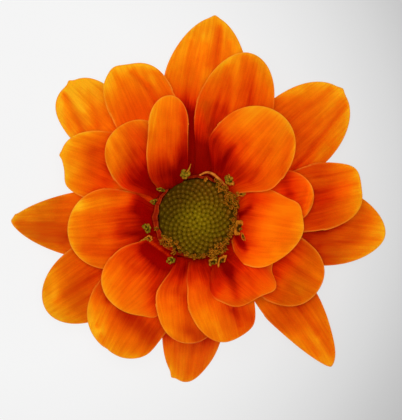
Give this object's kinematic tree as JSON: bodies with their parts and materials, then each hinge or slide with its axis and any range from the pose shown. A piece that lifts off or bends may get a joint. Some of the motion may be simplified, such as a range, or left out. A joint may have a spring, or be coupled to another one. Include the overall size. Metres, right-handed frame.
{
  "type": "chrysanthemum bloom",
  "caption": "Open-centred semi-double chrysanthemum bloom, cut below the head: broad orange ray petals in three layers round an olive disc of tiny florets, green bracts beneath.",
  "frame": {"origin": "centre of the flat cut below the head, under the middle of the disc", "axes": "+Z up, out of the face of the bloom; seen from above, +X points right and +Y up in the picture"},
  "size_m": [0.0752, 0.0732, 0.02],
  "materials": {
    "ray_floret": "satin",
    "disc_floret": "matte",
    "rim_floret": "matte",
    "bract": "matte",
    "stalk": "satin"
  },
  "bodies": {
    "root": {"flower_stalk": "stalk", "involucre": "bract", "ray_florets": "ray_floret", "rim_florets": "rim_floret", "disc_florets": "disc_floret"}
  },
  "joints": []
}
